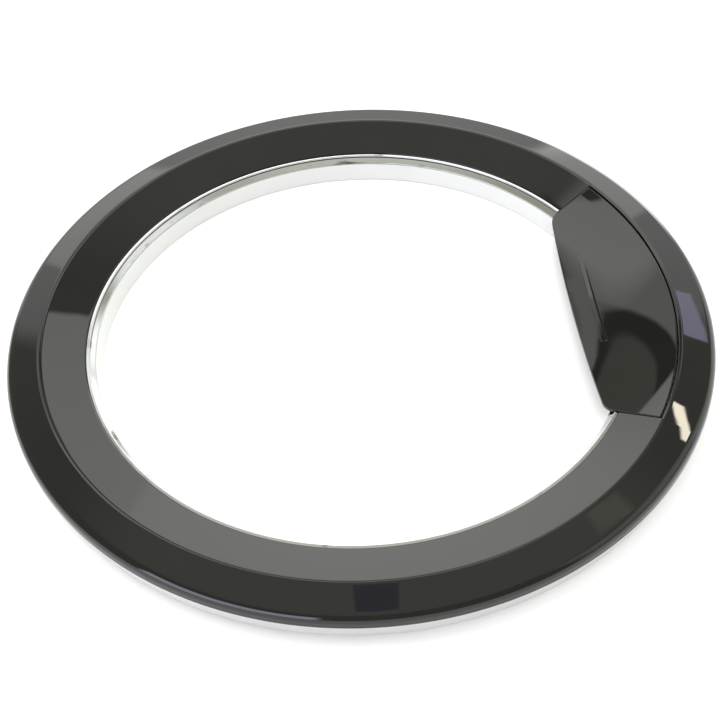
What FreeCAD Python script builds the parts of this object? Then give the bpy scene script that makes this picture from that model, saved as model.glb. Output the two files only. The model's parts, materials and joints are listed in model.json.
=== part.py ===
"""Round front-loader door: glossy front ring, bright window trim, white back frame and a pull handle.

The door lies on its back. The origin is the centre of the back plane, +Z points out of the
front, the handle is on the +X side and the hinge side is -X. All sizes are millimetres.
"""
import FreeCAD, Part
import Sketcher
import os
import re

# Dimensions: name, then a size or the formula that ties it to other sizes.
DIMENSIONS = [
    # front ring
    ("rim_radius", 235.0),
    ("ring_width", 52.0),
    ("window_radius", "rim_radius - ring_width"),
    ("inner_face_width", 29.5),
    ("crest_radius", "window_radius + inner_face_width"),
    ("rim_low", 12.5),
    ("rim_side", 9.3),
    ("rim_height", "rim_low + rim_side"),
    ("rim_round", 6.0),
    ("rim_edge_round", 1.2),
    ("crest_rise", 5.0),
    ("crest_height", "rim_height + crest_rise"),
    ("crest_round", 2.5),
    ("inner_face_drop", 8.2),
    ("window_height", "crest_height - inner_face_drop"),
    ("window_round", 1.0),
    ("front_wall", 2.6),
    ("lip_gap", 1.6),
    ("lip_low", "back_top + lip_gap"),
    # back frame
    ("back_foot_inset", 9.0),
    ("back_foot_radius", "window_radius - back_foot_inset"),
    ("back_draft", 2.2),
    ("back_top_radius", "back_foot_radius + back_draft"),
    ("back_top", "ledge_height - ledge_wall"),
    ("back_wall", 2.4),
    ("seat_rise", 2.8),
    ("seat_height", "back_top + seat_rise"),
    ("seat_radius", "back_top_radius + back_draft * seat_rise / back_top"),
    ("back_floor", 2.4),
    ("back_edge_round", 1.0),
    ("skirt_inset", 4.0),
    ("skirt_foot_radius", "rim_radius - skirt_inset"),
    ("skirt_overlap", 3.5),
    ("skirt_top", "rim_low + skirt_overlap"),
    ("skirt_wall", 2.0),
    ("skirt_clearance", 0.2),
    # screws that hold the two frames together
    ("boss_inset", 16.0),
    ("boss_circle", "window_radius + boss_inset"),
    ("boss_radius", 4.0),
    ("boss_cover", 0.26),
    ("boss_count", 10),
    ("boss_first_angle", 45.0),
    ("pilot_radius", 1.45),
    ("screw_play", 0.05),
    ("screw_hole_radius", 1.8),
    ("screw_head_radius", 3.3),
    ("screw_head", 1.1),
    ("screw_sunk", 1.3),
    ("screw_head_play", 0.3),
    ("screw_length", 12.0),
    ("short_screw_length", 5.4),
    # window trim
    ("trim_wall", 1.3),
    ("trim_play", 0.2),
    ("trim_bead", 2.3),
    ("trim_bead_depth", 1.2),
    ("trim_groove", 0.7),
    ("trim_foot_inset", 0.4),
    ("trim_foot_radius", "seat_radius + trim_foot_inset"),
    ("trim_foot_bevel", 0.8),
    ("trim_foot_wall", 2.08),
    # handle plate
    ("handle_half_angle", 32.0),
    ("handle_gap", 1.4),
    ("handle_end_gap", 0.9),
    ("seam_inset", 3.1),
    ("seam_drop", 0.7),
    ("handle_seam_radius", "crest_radius - seam_inset"),
    ("handle_seam_height", "crest_height - seam_drop"),
    ("handle_overhang", 38.4),
    ("handle_edge", "window_radius - handle_overhang"),
    ("handle_edge_drop", 3.0),
    ("handle_edge_height", "window_height - handle_edge_drop"),
    ("handle_edge_bow", 1525.0),
    ("handle_corner", 12.0),
    ("handle_run", "handle_seam_radius - handle_edge"),
    ("handle_rise", "handle_seam_height - handle_edge_height"),
    ("handle_bend", "(handle_run ^ 2 + handle_rise ^ 2) / (2 * handle_rise)"),
    ("handle_centre", "handle_edge_height + handle_bend"),
    ("cover_wall", 2.6),
    ("lever_wall", 3.0),
    ("lever_top_bend", "handle_bend + cover_wall"),
    ("lever_low_bend", "lever_top_bend + lever_wall"),
    ("lever_inset", 5.0),
    ("lever_inset_angle", 1.5),
    ("neck_run", 8.5),
    ("neck_margin", 1.0),
    ("lever_neck", "knuckle_place + knuckle_width + neck_margin"),
    ("lever_neck_start", "pivot_offset - neck_run"),
    ("groove_offset", 15.1),
    ("groove_width", 3.6),
    ("groove_length", 81.0),
    ("groove_depth", 0.9),
    # well under the handle
    ("well_wall", 2.0),
    ("ledge_play", 0.64),
    ("ledge_wall", 1.9),
    ("ledge_radius", "back_top_radius + trim_foot_inset"),
    ("ledge_height", "lever_low - ledge_play"),
    ("lever_low", "handle_centre - sqrt(lever_low_bend ^ 2 - (ledge_radius - handle_edge) ^ 2)"),
    # handle pivot
    ("knuckle_radius", 4.0),
    ("knuckle_room", 0.26),
    ("knuckle_width", 10.0),
    ("knuckle_place", 39.0),
    ("pivot_overlap", 1.2),
    ("pivot_offset", "catch_offset + catch_hub_radius + knuckle_radius - pivot_overlap"),
    ("cover_low", "handle_centre - sqrt(lever_top_bend ^ 2 - (pivot_offset - handle_edge) ^ 2)"),
    ("pivot_height", "cover_low - knuckle_room - knuckle_radius"),
    ("pivot_pin_radius", 2.0),
    ("pivot_pin_end", 1.0),
    ("running_play", 0.05),
    ("seat_play", 0.02),
    ("finger_width", 10.0),
    ("finger_wall", 3.0),
    ("finger_room", 0.5),
    ("finger_low", "catch_nose_low + catch_nose_wall + finger_room"),
    # bearing brackets of the pivot
    ("bearing_gap", 4.0),
    ("bearing_place", "knuckle_place + knuckle_width + bearing_gap"),
    ("bearing_width", 6.0),
    ("bearing_radius", 4.2),
    ("bearing_foot_in", 7.5),
    ("bearing_foot_out", 5.0),
    ("flange_length", 9.0),
    ("flange_wall", 5.0),
    ("flange_in", 9.0),
    ("flange_out", 1.0),
    ("clip_radius", 3.6),
    ("clip_wall", 0.8),
    # coil springs
    ("coil_pitch", 1.15),
    ("spring_wire", 1.2),
    ("spring_play", 0.3),
    ("spring_turns", 6),
    ("spring_room", 7.0),
    ("spring_place", "finger_width / 2 + spring_room"),
    ("spring_leg", 7.5),
    ("spring_window_play", 1.2),
    ("catch_spring_wire", 0.9),
    ("catch_spring_turns", 3),
    ("catch_spring_leg", 3.6),
    # catch
    ("catch_room", 1.2),
    ("catch_offset", "window_radius + front_wall + catch_room + catch_hub_radius"),
    ("catch_drop", 4.7),
    ("catch_height", "pivot_height - catch_drop"),
    ("catch_pin_radius", 1.5),
    ("catch_width", 10.0),
    ("catch_hub_radius", 3.2),
    ("catch_play", 0.3),
    ("catch_spring_room", "2 * catch_play + catch_spring_wire * (coil_pitch * catch_spring_turns + 1)"),
    ("catch_arm_wall", 2.6),
    ("catch_arm_relief", 1.6),
    ("catch_nose_room", 1.0),
    ("catch_nose_low", "back_floor + catch_nose_room"),
    ("catch_nose_wall", 1.9),
    ("catch_nose_length", 10.0),
    ("catch_nose_bevel", 1.2),
    ("slot_play", 0.5),
    ("slot_end_play", 1.5),
    ("cheek_wall", 2.5),
    ("cheek_round", 3.4),
    ("bridge_width", 3.5),
    ("cheek_foot_out", "catch_nose_length + slot_end_play + bridge_width"),
    ("cheek_foot_in", 3.0),
    ("cheek_bridge", 2.0),
    ("cheek_ear", 8.0),
    ("cheek_ear_wall", 5.0),
    # hinge reinforcement
    ("hinge_inset", 19.0),
    ("hinge_hole_circle", "window_radius + hinge_inset"),
    ("hinge_plate_wall", 3.0),
    ("hinge_plate_half_width", 14.0),
    ("hinge_plate_half_angle", 11.0),
    ("hinge_hole_radius", 3.2),
    ("hinge_thread_radius", 2.5),
    ("hinge_hole_spacing", 52.0),
]
NAMES = {name for name, size in DIMENSIONS}

doc = FreeCAD.newDocument("WashingMachineDoor")
sheet = doc.addObject("Spreadsheet::Sheet", "Dims")
for row, (name, size) in enumerate(DIMENSIONS, 1):
    sheet.set(f"A{row}", name)
    sheet.setAlias(f"B{row}", name)
for row, (name, size) in enumerate(DIMENSIONS, 1):
    sheet.set(f"B{row}", f"={size}")
doc.recompute()


def bind(text):
    """Turns dimension names in a formula into references to the sheet."""
    return re.sub(r"[a-z_]+", lambda m: "Dims." + m.group() if m.group() in NAMES else m.group(), text)


def size_of(text):
    """The formula's value as a plain number."""
    result = sheet.evalExpression(bind(text))
    return float(getattr(result, "Value", result))


# Formulas that several pieces share.
OUTER_FALL = "((crest_height - rim_height) / (rim_radius - crest_radius))"
INNER_FALL = "((crest_height - window_height) / (crest_radius - window_radius))"
RIM_INSIDE = "(rim_radius - front_wall)"
LIP_OUTSIDE = "(window_radius + front_wall)"
SKIRT_TOP_RADIUS = f"({RIM_INSIDE} - skirt_clearance)"
WELL_RADIUS = "(handle_seam_radius + handle_gap)"
WELL_HALF_ANGLE = "(handle_half_angle + handle_end_gap / window_radius * 180 / pi)"
BLOCK_HALF_ANGLE = f"({WELL_HALF_ANGLE} + well_wall / window_radius * 180 / pi)"
TRIM_HALF_ANGLE = f"(180 - {WELL_HALF_ANGLE} - trim_play / window_radius * 180 / pi)"
LEVER_EDGE = "(handle_edge + lever_inset)"
LEVER_RADIUS = "(handle_seam_radius - lever_inset / 2)"
FINGER_FACE = "(pivot_offset - finger_wall / 2)"
CHEEK_INSIDE = "(catch_width / 2 + catch_spring_room)"
CHEEK_OUTSIDE = f"({CHEEK_INSIDE} + cheek_wall)"
CATCH_FACE = f"({FINGER_FACE} - catch_play)"
SLOT_END = "(catch_offset + catch_nose_length + slot_end_play)"
PIN_REACH = "(bearing_place + bearing_width + clip_wall + pivot_pin_end)"
ABOVE = "(2 * crest_height)"
BELOW = "(0 - crest_height)"


def new_body(name):
    """A body whose label names the piece."""
    body = doc.addObject("PartDesign::Body", name)
    body.Label = name
    return body


def origin_feature(body, role):
    """The plane or axis of the body's own origin with that role."""
    return next(f for f in body.Origin.OriginFeatures if f.Role == role)


def new_sketch(body, name, plane, offset=None):
    """A sketch on one of the body's origin planes, moved along its normal by the offset formula."""
    sketch = body.newObject("Sketcher::SketchObject", name)
    sketch.AttachmentSupport = (origin_feature(body, plane), [""])
    sketch.MapMode = "FlatFace"
    if offset:
        sketch.setExpression("AttachmentOffset.Base.z", bind(offset))
    return sketch


def set_size(sketch, constraint, formula):
    """Adds a constraint whose size is the formula."""
    index = sketch.addConstraint(constraint)
    sketch.setExpression(f"Constraints[{index}]", bind(formula))


def pin_point(sketch, line, end, x, y):
    """Places one point of the sketch; a coordinate of None stays free."""
    for kind, formula in (("DistanceX", x), ("DistanceY", y)):
        if formula is not None:
            set_size(sketch, Sketcher.Constraint(kind, -1, 1, line, end, size_of(formula)), formula)


def draw_outline(sketch, points):
    """A closed outline of straight lines through points given as pairs of formulas."""
    first = sketch.GeometryCount
    places = [FreeCAD.Vector(size_of(x), size_of(y), 0) for x, y in points]
    for start, end in zip(places, places[1:] + places[:1]):
        sketch.addGeometry(Part.LineSegment(start, end))
    for index in range(len(points)):
        following = first + (index + 1) % len(points)
        sketch.addConstraint(Sketcher.Constraint("Coincident", first + index, 2, following, 1))
    for index, (x, y) in enumerate(points):
        pin_point(sketch, first + index, 1, x, y)


def draw_rectangle(sketch, x_low, x_high, y_low, y_high):
    """An upright rectangle between four formulas."""
    draw_outline(sketch, [(x_low, y_low), (x_high, y_low), (x_high, y_high), (x_low, y_high)])


def draw_circle(sketch, x, y, radius):
    """A circle whose centre and radius are formulas."""
    centre = FreeCAD.Vector(size_of(x), size_of(y), 0)
    index = sketch.addGeometry(Part.Circle(centre, FreeCAD.Vector(0, 0, 1), size_of(radius)))
    pin_point(sketch, index, 3, x, y)
    set_size(sketch, Sketcher.Constraint("Radius", index, size_of(radius)), radius)


def draw_arc_region(sketch, x_low, x_high, centre_x, centre_y, bend, flat):
    """The region between an arc about a centre above it and a level line."""
    middle = FreeCAD.Vector(size_of(centre_x), size_of(centre_y), 0)
    level = size_of(flat)
    on_arc = []
    for x in (size_of(x_low), (size_of(x_low) + size_of(x_high)) / 2, size_of(x_high)):
        on_arc.append(FreeCAD.Vector(x, middle.y - (size_of(bend) ** 2 - (x - middle.x) ** 2) ** 0.5, 0))
    corners = [on_arc[2], FreeCAD.Vector(on_arc[2].x, level, 0),
               FreeCAD.Vector(on_arc[0].x, level, 0), on_arc[0]]
    arc = sketch.addGeometry(Part.Arc(*on_arc))
    lines = [sketch.addGeometry(Part.LineSegment(*ends)) for ends in zip(corners, corners[1:])]
    sketch.addConstraint(Sketcher.Constraint("Coincident", arc, 2, lines[0], 1))
    sketch.addConstraint(Sketcher.Constraint("Coincident", lines[0], 2, lines[1], 1))
    sketch.addConstraint(Sketcher.Constraint("Coincident", lines[1], 2, lines[2], 1))
    sketch.addConstraint(Sketcher.Constraint("Coincident", lines[2], 2, arc, 1))
    pin_point(sketch, arc, 3, centre_x, centre_y)
    set_size(sketch, Sketcher.Constraint("Radius", arc, size_of(bend)), bend)
    pin_point(sketch, arc, 1, x_low, None)
    pin_point(sketch, arc, 2, x_high, None)
    pin_point(sketch, lines[1], 1, x_high, flat)
    pin_point(sketch, lines[1], 2, x_low, flat)


def revolve(body, sketch, name, half_angle=None, cut=False):
    """Turns a section about the door's axis, all round or to both sides of its plane."""
    feature = body.newObject("PartDesign::Groove" if cut else "PartDesign::Revolution", name)
    feature.Profile = sketch
    feature.ReferenceAxis = (sketch, ["V_Axis"])
    feature.Angle = 360
    if half_angle:
        feature.Midplane = True
        feature.setExpression("Angle", bind(f"2 * {half_angle}"))
    doc.recompute()
    return feature


def pad(body, sketch, name, length, both_ways=False, backwards=False):
    """Raises a sketch along its normal."""
    feature = body.newObject("PartDesign::Pad", name)
    feature.Profile = sketch
    feature.SideType = "Symmetric" if both_ways else "One side"
    feature.Reversed = backwards
    feature.setExpression("Length", bind(length))
    doc.recompute()
    return feature


def pocket(body, sketch, name, length=None, upwards=False):
    """Cuts a sketch through everything both ways, or to a depth on one side."""
    before = body.Shape.Volume
    feature = body.newObject("PartDesign::Pocket", name)
    feature.Profile = sketch
    if length:
        feature.Reversed = upwards
        feature.setExpression("Length", bind(length))
    else:
        feature.SideType = "Symmetric"
        feature.Type = "ThroughAll"
    doc.recompute()
    if not body.Shape.Volume < before:
        raise RuntimeError(f"{name} cuts nothing")
    return feature


def circular_pattern(body, features, name, angle, count):
    """Repeats features about the door's axis."""
    pattern = body.newObject("PartDesign::PolarPattern", name)
    pattern.Originals = features
    pattern.Axis = (origin_feature(body, "Z_Axis"), [""])
    pattern.setExpression("Angle", bind(angle))
    pattern.setExpression("Occurrences", bind(count))
    body.Tip = pattern
    doc.recompute()
    return pattern


def mirror(body, features, name):
    """Repeats features on the other side of the handle's middle plane."""
    twin = body.newObject("PartDesign::Mirrored", name)
    twin.Originals = features
    twin.MirrorPlane = (origin_feature(body, "XZ_Plane"), [""])
    body.Tip = twin
    doc.recompute()
    return twin


def ring_edges(shape, radius, height):
    """Names of the circular edges about the door's axis at a radius and a height."""
    names = []
    for index, edge in enumerate(shape.Edges, 1):
        curve = edge.Curve
        if not isinstance(curve, Part.Circle):
            continue
        centred = abs(curve.Center.x) < 0.01 and abs(curve.Center.y) < 0.01
        placed = abs(curve.Center.z - size_of(height)) < 0.01
        if centred and placed and abs(curve.Radius - size_of(radius)) < 0.01:
            names.append(f"Edge{index}")
    return names


def upright_edges(shape, x_limit):
    """Names of the edges that run along Z on the window side of a distance."""
    names = []
    for index, edge in enumerate(shape.Edges, 1):
        low, high = edge.firstVertex().Point, edge.lastVertex().Point
        upright = abs(low.x - high.x) < 0.01 and abs(low.y - high.y) < 0.01
        if upright and low.x < size_of(x_limit):
            names.append(f"Edge{index}")
    return names


def round_edges(body, name, edges, radius):
    """Fillets named edges of the body's newest feature."""
    base = body.Tip
    feature = body.newObject("PartDesign::Fillet", name)
    feature.Base = (base, edges)
    feature.setExpression("Radius", bind(radius))
    body.Tip = feature
    doc.recompute()
    return feature


# Places of the screws, from the frame's own layout.
BOSS_SWEEP = "(360 - 2 * boss_first_angle)"
BOSS_X = "(boss_circle * cos(boss_first_angle))"
BOSS_Y = "(boss_circle * sin(boss_first_angle))"
FLANGE_SCREW_X = "(pivot_offset + (flange_out - flange_in) / 2)"
FLANGE_SCREW_Y = "(bearing_place + bearing_width + flange_length / 2)"
EAR_SCREW_X = "(catch_offset + (cheek_foot_out - cheek_foot_in) / 2)"
EAR_SCREW_Y = f"({CHEEK_OUTSIDE} + cheek_ear / 2)"
HINGE_SCREW_X = "(hinge_hole_circle * (0 - 1))"
BRACKET_SCREWS = [(FLANGE_SCREW_X, FLANGE_SCREW_Y), (FLANGE_SCREW_X, f"(0 - {FLANGE_SCREW_Y})")]
CATCH_SCREWS = [(EAR_SCREW_X, EAR_SCREW_Y), (EAR_SCREW_X, f"(0 - {EAR_SCREW_Y})")]
HINGE_SCREWS = [(HINGE_SCREW_X, "0")]
HINGE_HOLES = [(HINGE_SCREW_X, "hinge_hole_spacing / 2"), (HINGE_SCREW_X, "0 - hinge_hole_spacing / 2")]


def build_outer_frame():
    """Glossy front ring: a hollow moulding with a well for the handle and screw bosses behind."""
    body = new_body("outer_frame")
    section = new_sketch(body, "FrontSection", "XZ_Plane")
    draw_outline(section, [
        ("rim_radius", "rim_low"),
        ("rim_radius", "rim_height"),
        ("crest_radius", "crest_height"),
        ("window_radius", "window_height"),
        ("window_radius", "lip_low"),
        (LIP_OUTSIDE, "lip_low"),
        (LIP_OUTSIDE, f"window_height + front_wall * {INNER_FALL} - front_wall"),
        ("crest_radius", "crest_height - front_wall"),
        (RIM_INSIDE, f"rim_height + front_wall * {OUTER_FALL} - front_wall"),
        (RIM_INSIDE, "rim_low"),
    ])
    revolve(body, section, "FrontShell")

    # walls of the handle's well, solid at first, and the ledge that closes the trim's gap
    block = new_sketch(body, "WellBlockSection", "XZ_Plane")
    draw_outline(block, [
        ("window_radius", "back_floor"),
        (f"{WELL_RADIUS} + well_wall", "back_floor"),
        (f"{WELL_RADIUS} + well_wall", "crest_height - front_wall / 2"),
        ("window_radius", "window_height - front_wall / 2"),
    ])
    revolve(body, block, "WellBlock", BLOCK_HALF_ANGLE)
    ledge = new_sketch(body, "LedgeSection", "XZ_Plane")
    draw_rectangle(ledge, "ledge_radius", LIP_OUTSIDE, "back_top", "ledge_height")
    revolve(body, ledge, "Ledge", WELL_HALF_ANGLE)
    well = new_sketch(body, "WellSection", "XZ_Plane")
    draw_outline(well, [
        (LIP_OUTSIDE, "0"),
        (WELL_RADIUS, "0"),
        (WELL_RADIUS, ABOVE),
        ("back_foot_radius", ABOVE),
        ("back_foot_radius", "ledge_height"),
        (LIP_OUTSIDE, "ledge_height"),
    ])
    revolve(body, well, "Well", WELL_HALF_ANGLE, cut=True)

    boss = new_sketch(body, "BossSection", "XY_Plane", "back_floor")
    draw_circle(boss, BOSS_X, BOSS_Y, "boss_radius")
    draw_circle(boss, BOSS_X, BOSS_Y, "pilot_radius")
    surface = f"(window_height + (boss_circle - boss_radius - window_radius) * {INNER_FALL})"
    raised = pad(body, boss, "Boss", f"{surface} - boss_cover - back_floor")
    circular_pattern(body, [raised], "Bosses", BOSS_SWEEP, "boss_count")

    for name, radius, height, rounding in (
            ("RimRound", "rim_radius", "rim_height", "rim_round"),
            ("CrestRound", "crest_radius", "crest_height", "crest_round"),
            ("RimEdgeRound", "rim_radius", "rim_low", "rim_edge_round"),
            ("WindowRound", "window_radius", "window_height", "window_round")):
        round_edges(body, name, ring_edges(body.Shape, radius, height), rounding)
    return body


def build_inner_frame():
    """White back frame: a ring channel whose outer skirt slips inside the front ring's rim."""
    body = new_body("inner_frame")
    section = new_sketch(body, "BackSection", "XZ_Plane")
    draw_outline(section, [
        ("back_foot_radius", "0"),
        ("skirt_foot_radius", "0"),
        (SKIRT_TOP_RADIUS, "skirt_top"),
        (f"{SKIRT_TOP_RADIUS} - skirt_wall", "skirt_top"),
        ("skirt_foot_radius - skirt_wall", "back_floor"),
        ("back_foot_radius + back_wall", "back_floor"),
        ("back_top_radius + back_wall", "back_top"),
        ("back_top_radius", "back_top"),
    ])
    revolve(body, section, "BackChannel")

    # seat of the window trim, higher than the wall under the handle
    seat = new_sketch(body, "TrimSeatSection", "XZ_Plane")
    draw_outline(seat, [
        ("0 - back_top_radius", "back_top"),
        ("0 - back_top_radius - back_wall", "back_top"),
        ("0 - seat_radius - back_wall", "seat_height"),
        ("0 - seat_radius", "seat_height"),
    ])
    revolve(body, seat, "TrimSeat", TRIM_HALF_ANGLE)

    hole = new_sketch(body, "ScrewHole", "XY_Plane")
    draw_circle(hole, BOSS_X, BOSS_Y, "screw_hole_radius")
    through = pocket(body, hole, "ScrewHoleCut")
    sunk = new_sketch(body, "ScrewSink", "XY_Plane")
    draw_circle(sunk, BOSS_X, BOSS_Y, "screw_head_radius + screw_head_play")
    recess = pocket(body, sunk, "ScrewSinkCut", "screw_sunk", upwards=True)
    circular_pattern(body, [through, recess], "ScrewHoles", BOSS_SWEEP, "boss_count")

    holes = new_sketch(body, "FixingHoles", "XY_Plane")
    sinks = new_sketch(body, "FixingSinks", "XY_Plane")
    for x, y in BRACKET_SCREWS + CATCH_SCREWS + HINGE_SCREWS:
        draw_circle(holes, x, y, "screw_hole_radius")
        draw_circle(sinks, x, y, "screw_head_radius + screw_head_play")
    for x, y in HINGE_HOLES:
        draw_circle(holes, x, y, "hinge_hole_radius")
    pocket(body, holes, "FixingHolesCut")
    pocket(body, sinks, "FixingSinksCut", "screw_sunk", upwards=True)

    slot = new_sketch(body, "LatchSlot", "XY_Plane")
    half_slot = "(catch_width / 2 + slot_play)"
    draw_rectangle(slot, "catch_offset - catch_hub_radius", SLOT_END, f"0 - {half_slot}", half_slot)
    pocket(body, slot, "LatchSlotCut")

    for name, radius in (("WindowFootRound", "back_foot_radius"), ("SkirtFootRound", "skirt_foot_radius")):
        round_edges(body, name, ring_edges(body.Shape, radius, "0"), "back_edge_round")
    return body


def build_trim_ring():
    """Bright window trim: a bead, a fine groove and a sloped face, open where the handle sits."""
    body = new_body("trim_ring")
    section = new_sketch(body, "TrimSection", "XZ_Plane")
    outside = "(window_radius - trim_play)"
    bead_low = "(window_height - trim_bead_depth)"
    slope_top = f"({bead_low} - trim_groove)"
    slope_radius = f"({outside} - trim_bead - trim_play)"
    draw_outline(section, [
        (outside, "window_height - trim_play"),
        (f"{outside} - trim_bead", "window_height - trim_play"),
        (f"{outside} - trim_bead", bead_low),
        (f"{outside} - trim_bead + trim_groove", f"{bead_low} - trim_groove / 2"),
        (slope_radius, slope_top),
        ("trim_foot_radius", "seat_height + trim_foot_bevel"),
        ("trim_foot_radius + trim_foot_bevel", "seat_height"),
        (outside, "seat_height"),
        (outside, "seat_height + trim_wall"),
        ("trim_foot_radius + trim_foot_wall", "seat_height + trim_wall"),
        (f"{slope_radius} + trim_wall", f"{slope_top} - trim_wall"),
        (outside, f"{bead_low} - trim_wall"),
    ])
    revolve(body, section, "TrimSweep", TRIM_HALF_ANGLE)
    body.Placement.Rotation = FreeCAD.Rotation(FreeCAD.Vector(0, 0, 1), 180)
    return body


def curved_plate(body, prefix, half_angle, edge, outer_radius, upper, lower):
    """A dished sector plate cut along a slightly bowed line on its window side, with rounded corners."""
    block = new_sketch(body, f"{prefix}Section", "XZ_Plane")
    draw_rectangle(block, "handle_edge - handle_corner", outer_radius, "0", ABOVE)
    revolve(body, block, f"{prefix}Block", half_angle)

    line = new_sketch(body, f"{prefix}EdgeLine", "XY_Plane")
    bow, wide, tip = size_of("handle_edge_bow"), size_of("handle_seam_radius"), size_of(edge)
    inside = f"({edge} / 2)"
    back = tip + bow - (bow ** 2 - wide ** 2) ** 0.5
    corners = [FreeCAD.Vector(back, wide, 0), FreeCAD.Vector(size_of(inside), wide, 0),
               FreeCAD.Vector(size_of(inside), -wide, 0), FreeCAD.Vector(back, -wide, 0)]
    arc = line.addGeometry(Part.Arc(corners[0], FreeCAD.Vector(tip, 0, 0), corners[3]))
    sides = [line.addGeometry(Part.LineSegment(*ends)) for ends in zip(corners, corners[1:])]
    line.addConstraint(Sketcher.Constraint("Coincident", arc, 1, sides[0], 1))
    line.addConstraint(Sketcher.Constraint("Coincident", sides[0], 2, sides[1], 1))
    line.addConstraint(Sketcher.Constraint("Coincident", sides[1], 2, sides[2], 1))
    line.addConstraint(Sketcher.Constraint("Coincident", sides[2], 2, arc, 2))
    pin_point(line, arc, 3, f"{edge} + handle_edge_bow", "0")
    set_size(line, Sketcher.Constraint("Radius", arc, bow), "handle_edge_bow")
    pin_point(line, sides[1], 1, inside, "handle_seam_radius")
    pin_point(line, sides[1], 2, inside, "0 - handle_seam_radius")
    pin_point(line, arc, 1, None, "handle_seam_radius")
    pin_point(line, arc, 2, None, "0 - handle_seam_radius")
    pocket(body, line, f"{prefix}EdgeCut")
    corner_edges = upright_edges(body.Shape, f"{edge} + handle_corner")
    round_edges(body, f"{prefix}Corners", corner_edges, "handle_corner")

    for side, bend, level in (("Top", upper, f"{ABOVE} + front_wall"), ("Low", lower, BELOW)):
        region = new_sketch(body, f"{prefix}{side}Region", "XZ_Plane")
        draw_arc_region(region, "handle_edge - handle_corner", WELL_RADIUS, "handle_edge",
                        "handle_centre", bend, level)
        revolve(body, region, f"{prefix}{side}Cut", cut=True)


def build_handle_cover():
    """Glossy handle plate: a gently dished sector that hangs over the window, with a fine groove."""
    body = new_body("handle_cover")
    curved_plate(body, "Cover", "handle_half_angle", "handle_edge", "handle_seam_radius",
                 "handle_bend", "lever_top_bend")
    middle = "(handle_edge + groove_offset)"
    floor = "handle_centre - sqrt(handle_bend ^ 2 - groove_offset ^ 2) - groove_depth"
    groove = new_sketch(body, "GrooveOutline", "XY_Plane", floor)
    draw_rectangle(groove, f"{middle} - groove_width / 2", f"{middle} + groove_width / 2",
                   "0 - groove_length / 2", "groove_length / 2")
    pocket(body, groove, "GrooveCut", "crest_height", upwards=True)
    return body


def build_handle_lever():
    """Carrier under the handle plate, with its knuckles on the pivot and the finger that works the catch."""
    body = new_body("handle_lever")
    curved_plate(body, "Lever", "(handle_half_angle - lever_inset_angle)", LEVER_EDGE, LEVER_RADIUS,
                 "lever_top_bend", "lever_low_bend")
    neck = new_sketch(body, "LeverNeck", "XY_Plane")
    draw_rectangle(neck, "lever_neck_start", "rim_radius", "lever_neck", "rim_radius")
    draw_rectangle(neck, "lever_neck_start", "rim_radius", "0 - rim_radius", "0 - lever_neck")
    pocket(body, neck, "LeverNeckCut")
    window = new_sketch(body, "SpringWindow", "XY_Plane")
    half_window = "(pivot_pin_radius + spring_play + spring_wire + spring_window_play)"
    draw_rectangle(window, f"pivot_offset - {half_window}", f"pivot_offset + {half_window}",
                   "spring_place - spring_wire - spring_window_play",
                   "spring_place + spring_wire * (coil_pitch * spring_turns + 1) + spring_window_play")
    pocket(body, window, "SpringWindowCut")

    knuckle = new_sketch(body, "KnuckleRound", "XZ_Plane", "knuckle_place")
    draw_circle(knuckle, "pivot_offset", "pivot_height", "knuckle_radius")
    mirror(body, [pad(body, knuckle, "Knuckle", "knuckle_width")], "Knuckles")
    hub = new_sketch(body, "HubRound", "XZ_Plane")
    draw_circle(hub, "pivot_offset", "pivot_height", "knuckle_radius")
    pad(body, hub, "Hub", "finger_width", both_ways=True)
    finger = new_sketch(body, "FingerOutline", "XZ_Plane")
    draw_rectangle(finger, FINGER_FACE, f"{FINGER_FACE} + finger_wall", "finger_low", "pivot_height")
    pad(body, finger, "Finger", "finger_width", both_ways=True)
    bore = new_sketch(body, "LeverBore", "XZ_Plane")
    draw_circle(bore, "pivot_offset", "pivot_height", "pivot_pin_radius + running_play")
    pocket(body, bore, "LeverBoreCut")
    return body


def build_bearing_brackets():
    """Two upright bearings that carry the handle's pin, each with a flange for its screw."""
    body = new_body("bearing_bracket_lower")
    foot = new_sketch(body, "BearingFoot", "XZ_Plane", "bearing_place")
    draw_outline(foot, [
        ("pivot_offset - bearing_foot_in", "back_floor"),
        ("pivot_offset + bearing_foot_out", "back_floor"),
        ("pivot_offset + bearing_radius", "pivot_height"),
        ("pivot_offset - bearing_radius", "pivot_height"),
    ])
    pad(body, foot, "BearingPost", "bearing_width")
    head = new_sketch(body, "BearingHead", "XZ_Plane", "bearing_place")
    draw_circle(head, "pivot_offset", "pivot_height", "bearing_radius")
    pad(body, head, "BearingRound", "bearing_width")
    flange = new_sketch(body, "BearingFlange", "XY_Plane", "back_floor")
    face = "(bearing_place + bearing_width)"
    draw_rectangle(flange, "pivot_offset - flange_in", "pivot_offset + flange_out",
                   f"0 - {face} - flange_length", f"0 - {face}")
    pad(body, flange, "BearingFlangePad", "flange_wall")
    bore = new_sketch(body, "BearingBore", "XZ_Plane")
    draw_circle(bore, "pivot_offset", "pivot_height", "pivot_pin_radius + seat_play")
    pocket(body, bore, "BearingBoreCut")
    pilot = new_sketch(body, "BearingPilot", "XY_Plane")
    draw_circle(pilot, FLANGE_SCREW_X, f"0 - {FLANGE_SCREW_Y}", "pilot_radius")
    pocket(body, pilot, "BearingPilotCut")
    return [body, mirrored_twin(body, "bearing_bracket_upper")]


def mirrored_twin(source, label):
    """A second piece that is the mirror image of the first across the handle's middle plane."""
    twin = doc.addObject("Part::Mirroring", label)
    twin.Label = label
    twin.Source = source
    twin.Normal = FreeCAD.Vector(0, 1, 0)
    doc.recompute()
    return twin


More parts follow.
